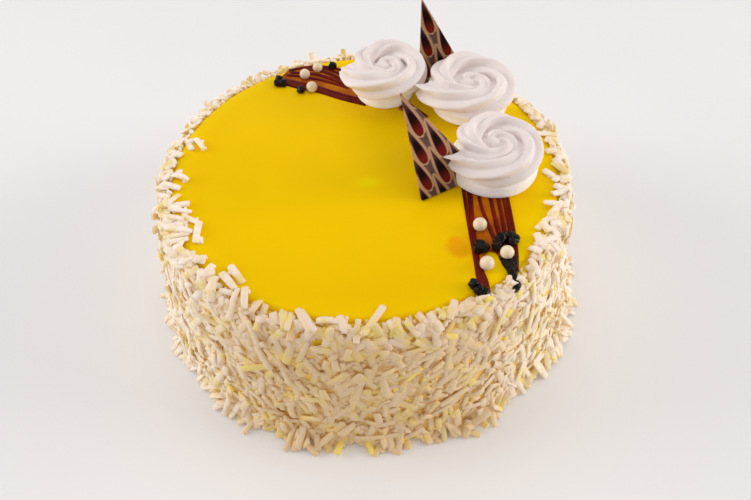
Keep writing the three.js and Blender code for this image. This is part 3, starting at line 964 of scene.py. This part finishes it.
# Sugar pearls: smooth white ones and glossy dark ones
pearls = {
    "sizes": (0.93, 1.04),
    "sink": 0.5,
    "lumpSize": 1.4,
    "slopeFrom": 91,
    "slope": 0.6,
    "white": {
        "radius": 2.95,
        "lumps": 0.02,
        "colors": (paint(244, 228, 200), paint(236, 214, 180)),
        "places": [(50.3, -45.6), (50.4, -67.0), (59.4, -61.4), (-31.3, 70.6), (-24.6, 77.2), (-26.8, 58.1)],
    },
    "dark": {
        "radius": 2.3,
        "lumps": 0.3,
        "colors": (paint(8, 2, 2), paint(26, 7, 5)),
        "places": [(49.0, -56.3), (50.6, -57.9), (48.4, -58.4), (56.9, -54.9), (56.0, -57.6), (58.2, -53.2),
                   (60.2, -52.2), (62.4, -51.9), (64.0, -53.2), (62.4, -55.2), (43.8, -76.8), (45.6, -79.4),
                   (48.0, -80.0), (61.1, -75.4), (-45.7, 63.6), (-43.0, 63.5), (-45.4, 67.2), (-32.8, 56.9),
                   (-16.3, 79.5)],
    },
}


def makePearls(name, kind, material, runs=()):
    # the dark ones have the thick dark runs of syrup with them
    draw = random.Random(len(kind["places"]))
    bm = gatherLines(runs)
    for x, y in kind["places"]:
        size = kind["radius"] * draw.uniform(*pearls["sizes"])
        ball = bmesh.ops.create_icosphere(bm, subdivisions=3, radius=size * mm)["verts"]
        for vert in ball:
            lump = noise.noise(vert.co / (pearls["lumpSize"] * mm) + Vector((x, y, 0)))
            vert.co *= 1 + kind["lumps"] * lump
        drop = max(math.hypot(x, y) - pearls["slopeFrom"], 0) * pearls["slope"]
        place = Vector((x, y, glazeLevel + size - pearls["sink"] - drop)) * mm
        bmesh.ops.translate(bm, verts=ball, vec=place)
    addPiece(name, meshFrom(bm, name), [material], ["glaze"])


whitePearl = makeMottled("whitePearl", {
    "Roughness": 0.38, "Subsurface Weight": 0.3, "Subsurface Scale": 0.002,
    "Subsurface Radius": (1.0, 0.8, 0.6)}, (220.0, 0.3, 0.7), pearls["white"]["colors"], 0.0001)
darkPearl = makeMottled("darkPearl", {"Roughness": 0.05, "Specular IOR Level": 0.2},
                        (300.0, 0.3, 0.7), pearls["dark"]["colors"], 0.0005, lumpy=True)
makePearls("whitePearls", pearls["white"], whitePearl)
makePearls("darkPearls", pearls["dark"], darkPearl, syrup["darkRuns"])
print("pearls set")

# Piped rosettes: a star-shaped rope wound from its tail in to the eye, on a smooth foot ring
rosettes = {
    "rosette_front": {"x": 60.8, "y": -8.0, "foot": 20.8, "reach": 22.7, "height": 21.0, "tailAngle": 199,
                      "tailReach": 27.3, "tailHeight": 15.5, "eye": (-1.4, 0.6),
                      "bulge": 0.0, "bulgeAngle": 0, "seed": 3.0},
    "rosette_middle": {"x": 56.0, "y": 42.0, "foot": 19.6, "reach": 24.3, "height": 21.5, "tailAngle": 188,
                       "tailReach": 30.3, "tailHeight": 16.5, "eye": (-2.8, -3.2),
                       "bulge": 0.2, "bulgeAngle": 150, "seed": 8.0},
    "rosette_back": {"x": 12.3, "y": 54.5, "foot": 15.2, "reach": 22.3, "height": 23.0, "tailAngle": 178,
                     "tailReach": 24.0, "tailHeight": 14.5, "eye": (-1.4, -1.0),
                     "bulge": 0.1, "bulgeAngle": 15, "seed": 13.0},
}
rope = {
    "turns": 1.8,
    # share of the length from tail to eye, then radius and half thickness as shares of the reach,
    # and the top as a share of the height
    "course": [(0.0, 0.8, 0.19, 0.82), (0.015, 0.78, 0.25, 0.86), (0.035, 0.74, 0.3, 0.89),
               (0.11, 0.68, 0.32, 0.92), (0.25, 0.67, 0.31, 0.95), (0.39, 0.6, 0.3, 1.01),
               (0.53, 0.5, 0.28, 0.98), (0.67, 0.4, 0.21, 0.9), (0.81, 0.34, 0.17, 0.86),
               (0.93, 0.24, 0.16, 0.85), (1.0, 0.16, 0.15, 0.82)],
    "rounding": 5,  # times that the corners of the course are rounded
    "tailEnd": 0.035,  # share of the length over which the ridges are pulled out to tips
    "ridges": 5,
    "ridgeDepth": 0.42,
    "ridgeStart": 42.0,  # degrees above the outward side
    "ridgeTurn": 560.0,  # degrees along the whole rope: the tip keeps its heading as the hand circles
    "spikes": 2.5,  # how far the other crests stand out at the tail, mm
    "around": 48,
    "steps": 170,
    "eyeRadius": 0.21,
    "eyeTop": 0.83,
    "eyeShape": (1.1, 1.3),  # how wide and how tall it is
    # radius and height of the foot ring, as shares of the foot and of the whole height
    "footRing": [(0, 0), (0.93, 0), (0.985, 0.04), (1, 0.12), (0.99, 0.28), (0.92, 0.42), (0.7, 0.56),
                 (0.36, 0.7), (0, 0.73)],
    "footSteps": 64,
    "lift": 0.1,
    "voxel": 0.38,
    "softening": 3,
    "wave": 0.6,
    "waveSize": 11,
    "waveFrom": 6,  # height where it is full, mm
    "waveSeed": 1,
    "white": (paint(237, 227, 222), paint(230, 219, 214)),
    # painted light at the foot
    "footLight": paint(250, 250, 255),
    "glow": (paint(147, 153, 163), paint(228, 228, 234)),  # above and at the foot
}


def makeMeringueMaterial():
    material, tree, shader, coords = newMaterial("pipedMeringue", {
        "Roughness": 0.5, "Subsurface Weight": 0.25, "Subsurface Scale": 0.002,
        "Subsurface Radius": (1.0, 0.85, 0.75), "Specular IOR Level": 0.35, "Emission Strength": 0.12})
    patches, grain = mottle(tree, coords, 60.0, 0.3, 0.7)
    white = blendColor(tree, patches, *rope["white"])
    # painted light: whiter and cooler at the foot, to offset the yellow that the glaze shines on it and the
    # shade there
    foot = spread(tree, axes(tree, coords)["Z"], 0.088, 0.078)
    tree.links.new(blendColor(tree, foot, white, rope["footLight"]), shader.inputs["Base Color"])
    # a faint glow for the light that the airy meringue passes on, most in the hollow under the rope
    tree.links.new(blendColor(tree, foot, *rope["glow"]), shader.inputs["Emission Color"])
    addBump(tree, shader, grain, 0.00015)
    return material


def ropeStops(rosette):
    # middle, half thickness and ridge turn of the rope along its length
    rows = []
    for step in range(rope["steps"] + 1):
        share = (step / rope["steps"]) ** 1.3
        for before, after in zip(rope["course"], rope["course"][1:]):
            if share <= after[0]:
                break
        part = (share - before[0]) / (after[0] - before[0])
        rows.append([between(low, high, part) for low, high in zip(before, after)])
    for _ in range(rope["rounding"]):
        threes = zip(rows, rows[1:], rows[2:])
        rows[1:-1] = [[(a + 2 * b + c) / 4 for a, b, c in zip(*three)] for three in threes]
    stops = []
    for share, radius, thickness, top in rows:
        angle = math.radians(rosette["tailAngle"]) + share * rope["turns"] * 2 * math.pi
        away = math.cos(angle - math.radians(rosette["bulgeAngle"]))
        radius *= rosette["reach"] * (1 + rosette["bulge"] * max(away, 0))
        thickness *= rosette["reach"]
        outward = Vector((math.cos(angle), math.sin(angle), 0))
        middle = outward * radius + Vector((*rosette["eye"], 0)) * share
        middle.z = top * rosette["height"] - thickness
        ridge = math.radians(rope["ridgeStart"] + share * rope["ridgeTurn"])
        tip = Vector((*(outward * rosette["tailReach"]).xy, rosette["tailHeight"]))
        pull = max(1 - share / rope["tailEnd"], 0) ** 1.3
        stops.append((middle, outward, thickness, ridge, tip, pull))
    return stops


def starReach(angle, ridge):
    # outline of the piping tip: 1 on a crest, less in the valleys
    place = (angle - ridge) / (2 * math.pi) * rope["ridges"]
    away = abs(place - round(place)) * 2
    return 1 - rope["ridgeDepth"] * away ** 1.2


def pipeRope(bm, stops):
    angles = bm.verts.layers.float.new("angle")
    ring = bmesh.ops.create_circle(bm, segments=rope["around"], radius=1)["verts"]
    for vert in ring:
        vert[angles] = math.atan2(vert.co.y, vert.co.x)
    edges = list({edge for vert in ring for edge in vert.link_edges})
    for number, (middle, outward, thickness, ridge, tip, pull) in enumerate(stops):
        if number:
            grown = bmesh.ops.extrude_edge_only(bm, edges=edges)["geom"]
            edges = [item for item in grown if isinstance(item, bmesh.types.BMEdge)]
        for vert in {vert for edge in edges for vert in edge.verts}:
            angle = vert[angles]
            reach = thickness * starReach(angle, ridge)
            spot = middle + outward * reach * math.cos(angle) + Vector((0, 0, reach * math.sin(angle)))
            crest = starReach(angle, ridge) ** 2
            # away from the crest that ends in the tip
            away = abs((angle - ridge + math.pi) % (2 * math.pi) - math.pi)
            if away < math.pi / rope["ridges"]:
                spot += (tip - spot) * pull * crest
            elif math.cos(angle) > 0:
                spot += outward * rope["spikes"] * pull * crest
            vert.co = spot * mm


def addEye(bm, rosette):
    # the small knob in the middle, where the tip was lifted off
    size = rope["eyeRadius"] * rosette["reach"]
    wide, tall = rope["eyeShape"]
    knob = bmesh.ops.create_uvsphere(bm, u_segments=40, v_segments=20, radius=1)["verts"]
    top = rope["eyeTop"] * rosette["height"]
    for vert in knob:
        angle = math.atan2(vert.co.y, vert.co.x)
        reach = 0.75 + 0.25 * starReach(angle + vert.co.z * 1.2, 0.4)
        spot = Vector((vert.co.x * size * wide * reach, vert.co.y * size * reach, vert.co.z * size * tall))
        vert.co = (spot + Vector((*rosette["eye"], top - size * tall))) * mm


def blendForms(bm, name):
    # foot ring, rope and eye grown together and softened
    form = addObject(name + "Form", meshFrom(bm, name))
    blend = form.modifiers.new("blend", "REMESH")
    blend.mode = "VOXEL"
    blend.voxel_size = rope["voxel"] * mm
    blend.use_smooth_shade = True
    soften = form.modifiers.new("soften", "SMOOTH")
    soften.factor = 0.5
    soften.iterations = rope["softening"]
    smooth = applied(form)
    bm = bmesh.new()
    bm.from_mesh(smooth)
    bpy.data.meshes.remove(smooth)
    return bm


def makeRosette(name, material):
    rosette = rosettes[name]
    profile = [(rosette["foot"] * wide, rosette["height"] * high) for wide, high in rope["footRing"]]
    bm = turned(profile, rope["footSteps"])
    pipeRope(bm, ropeStops(rosette))
    addEye(bm, rosette)
    closeEnds(bm)
    bm = blendForms(bm, name)
    noise.seed_set(rope["waveSeed"])  # the noise vectors start from the clock without it
    for vert in bm.verts:
        wave = noise.noise_vector(vert.co / (rope["waveSize"] * mm) + Vector((rosette["seed"], 0, 0)))
        vert.co += wave * rope["wave"] * mm * min(vert.co.z / (rope["waveFrom"] * mm), 1)
    place = Vector((rosette["x"], rosette["y"], glazeLevel + rope["lift"])) * mm
    bmesh.ops.translate(bm, verts=bm.verts, vec=place)
    print(name, len(bm.faces), "faces")
    addPiece(name + "Piped", meshFrom(bm, name + "Piped"), [material], [name])


meringue = makeMeringueMaterial()
for rosetteName in rosettes:
    makeRosette(rosetteName, meringue)
print("rosettes piped")

# Chocolate triangles: thin plates, printed all through with drops of dark chocolate in a cream net
triangles = {
    "triangle_front": {"x": 27.1, "y": -28.9, "heading": 28.9, "lean": 24.0, "left": 49.0, "foot": 34.0},
    "triangle_back": {"x": 31.0, "y": 61.0, "heading": 2.0, "lean": 4.0, "left": 47.0, "foot": 29.0},
}
plate = {
    "thickness": 1.6,
    "bevel": 0.25,
    "lift": 0.1,
    # drops of the print, in mm on the face: x along the foot, y up the left edge
    "printLift": 0.4,
    "column": 9.85,
    "pitch": 12.55,
    "ahead": (9.1, 0.9),  # how far a drop's cell reaches before its round end
    "first": (5.05, 4.0),  # round end of the lowest drop
    "columnLean": 0.03,
    "dropLength": 19.3,
    "dropWidth": 4.4,
    "dropLean": 19.9,  # degrees
    "dropRound": 0.42,
    "dropTaper": 1.25,
    "dropScale": 1.28,  # makes its widest place as wide as the width says
    "dropColors": (paint(112, 22, 8), paint(26, 4, 3)),
    "tipColor": paint(92, 66, 80),
    "outlineColor": paint(86, 30, 20),
    "netColors": (paint(192, 150, 114), paint(84, 60, 58)),
    "netPatches": paint(150, 116, 100),
}


def makeDropGroup():
    # how far a point lies inside one drop that stands on its round end and narrows to its tip
    inputs = ("Across", "Along", "Length", "Width")
    tree, start, end = newShaderGroup("chocolateDrop", inputs, ("Inside", "Rise"))
    rise = mathNode(tree, "DIVIDE", start["Along"], start["Length"])
    kept = addNode(tree, "ShaderNodeClamp", {"Value": rise}).outputs[0]
    past = mathNode(tree, "ABSOLUTE", mathNode(tree, "SUBTRACT", rise, kept))
    narrowing = mathNode(tree, "POWER", mathNode(tree, "SUBTRACT", 1.0, kept), plate["dropTaper"])
    swell = times(tree, mathNode(tree, "POWER", kept, plate["dropRound"]), narrowing)
    half = times(tree, times(tree, swell, plate["dropScale"]), start["Width"])
    inside = mathNode(tree, "SUBTRACT", half, mathNode(tree, "ABSOLUTE", start["Across"]))
    beyond = times(tree, past, start["Length"])
    tree.links.new(mathNode(tree, "SUBTRACT", inside, beyond), end["Inside"])
    tree.links.new(kept, end["Rise"])
    return tree


dropGroup = makeDropGroup()


def addDrop(tree, x, y):
    # x and y count from the round end of the drop
    lean = math.radians(plate["dropLean"])
    x = mathNode(tree, "ADD", x, times(tree, y, plate["columnLean"]))
    across = mathNode(tree, "ADD", times(tree, x, math.cos(lean)), times(tree, y, math.sin(lean)))
    along = mathNode(tree, "SUBTRACT", times(tree, y, math.cos(lean)), times(tree, x, math.sin(lean)))
    node = addNode(tree, "ShaderNodeGroup", {
        "Across": across, "Along": along, "Length": plate["dropLength"], "Width": plate["dropWidth"]},
        node_tree=dropGroup)
    return node.outputs["Inside"], node.outputs["Rise"]


def inCell(tree, value, first, size, ahead):
    # place within a repeated cell that reaches from -ahead to size - ahead
    steps = mathNode(tree, "DIVIDE", mathNode(tree, "ADD", value, ahead - first), size)
    return mathNode(tree, "SUBTRACT", times(tree, mathNode(tree, "FRACT", steps), size), ahead)


def makePrintMaterial(name, triangle):
    material, tree, shader, coords = newMaterial(name + "Print", {
        "Roughness": 0.25, "Specular IOR Level": 0.08})
    place = addNode(tree, "ShaderNodeMapping", {
        "Vector": coords, "Scale": (mm, mm, mm),
        "Location": Vector((triangle["x"], triangle["y"], glazeLevel + plate["printLift"])) * mm,
        "Rotation": (math.radians(90 - triangle["lean"]), 0, math.radians(triangle["heading"]))},
        vector_type="TEXTURE")
    onFace = axes(tree, place.outputs[0])
    firstX, firstY = plate["first"]
    aheadX, aheadY = plate["ahead"]
    up = mathNode(tree, "SUBTRACT", onFace["Y"], firstY)
    straight = mathNode(tree, "SUBTRACT", onFace["X"], times(tree, up, plate["columnLean"]))
    x = inCell(tree, straight, firstX, plate["column"], aheadX)
    y = inCell(tree, up, 0.0, plate["pitch"], aheadY)
    inside, rise = addDrop(tree, x, y)
    # the drops of the next cells reach in, and the one that lies deepest counts
    for moveX, moveY in ((0.0, plate["pitch"]), (plate["column"], 0.0), (plate["column"], plate["pitch"])):
        nextX = mathNode(tree, "ADD", x, moveX)
        nextInside, nextRise = addDrop(tree, nextX, mathNode(tree, "ADD", y, moveY))
        isNearer = mathNode(tree, "GREATER_THAN", nextInside, inside)
        rise = addNode(tree, "ShaderNodeMix", {0: isNearer, 2: rise, 3: nextRise}).outputs[0]
        inside = mathNode(tree, "MAXIMUM", inside, nextInside)
    patches, grain = mottle(tree, coords, 200.0, 0.3, 0.7)
    drop = blendColor(tree, spread(tree, rise, 0.1, 0.42), *plate["dropColors"])
    drop = blendColor(tree, spread(tree, rise, 0.55, 0.95), drop, plate["tipColor"])
    core = blendColor(tree, spread(tree, inside, 0.0, 0.6), plate["outlineColor"], drop)
    net = blendColor(tree, spread(tree, inside, -0.8, -1.9), *plate["netColors"])
    net = wash(tree, net, patches, 0.3, plate["netPatches"])
    tree.links.new(blendColor(tree, spread(tree, inside, -0.35, 0.2), net, core), shader.inputs["Base Color"])
    addBump(tree, shader, grain, 0.00008)
    return material


def turnAll(bm, angle, axis):
    bmesh.ops.rotate(bm, verts=bm.verts, cent=(0, 0, 0), matrix=Matrix.Rotation(angle, 3, axis))


def makeTriangle(name):
    triangle = triangles[name]
    bm = bmesh.new()
    corners = [(0, 0), (triangle["foot"], 0), (0, triangle["left"])]
    face = bm.faces.new([bm.verts.new((x * mm, y * mm, 0)) for x, y in corners])
    grown = bmesh.ops.extrude_face_region(bm, geom=[face])["geom"]
    lower = [item for item in grown if isinstance(item, bmesh.types.BMVert)]
    bmesh.ops.translate(bm, verts=lower, vec=(0, 0, -plate["thickness"] * mm))
    bmesh.ops.recalc_face_normals(bm, faces=bm.faces)
    bmesh.ops.bevel(bm, geom=bm.edges[:], affect="EDGES", offset=plate["bevel"] * mm, segments=2, profile=0.5)
    lean = math.radians(triangle["lean"])
    turnAll(bm, math.pi / 2 - lean, "X")
    turnAll(bm, math.radians(triangle["heading"]), "Z")
    level = glazeLevel + plate["lift"] + plate["thickness"] * math.sin(lean)  # its foot stays above the glaze
    bmesh.ops.translate(bm, verts=bm.verts, vec=Vector((triangle["x"], triangle["y"], level)) * mm)
    mesh = meshFrom(bm, name + "Plate", False)
    addPiece(name + "Plate", mesh, [makePrintMaterial(name, triangle)], [name])


for triangleName in triangles:
    makeTriangle(triangleName)
print("triangles set")

# Floor: plain and pale
plainFloor = {
    "size": 6.0,  # m
    "colors": ((0.86, 0.86, 0.86, 1), (0.88, 0.88, 0.88, 1)),
    "patchwork": (3.0, 0.4, 0.6),
}


def addFloor():
    bm = bmesh.new()
    bmesh.ops.create_grid(bm, x_segments=1, y_segments=1, size=plainFloor["size"])
    floor = addObject("floor", meshFrom(bm, "floor"))
    material = makeMottled("paleFloor", {"Roughness": 0.85}, plainFloor["patchwork"], plainFloor["colors"])
    floor.data.materials.append(material)


addFloor()
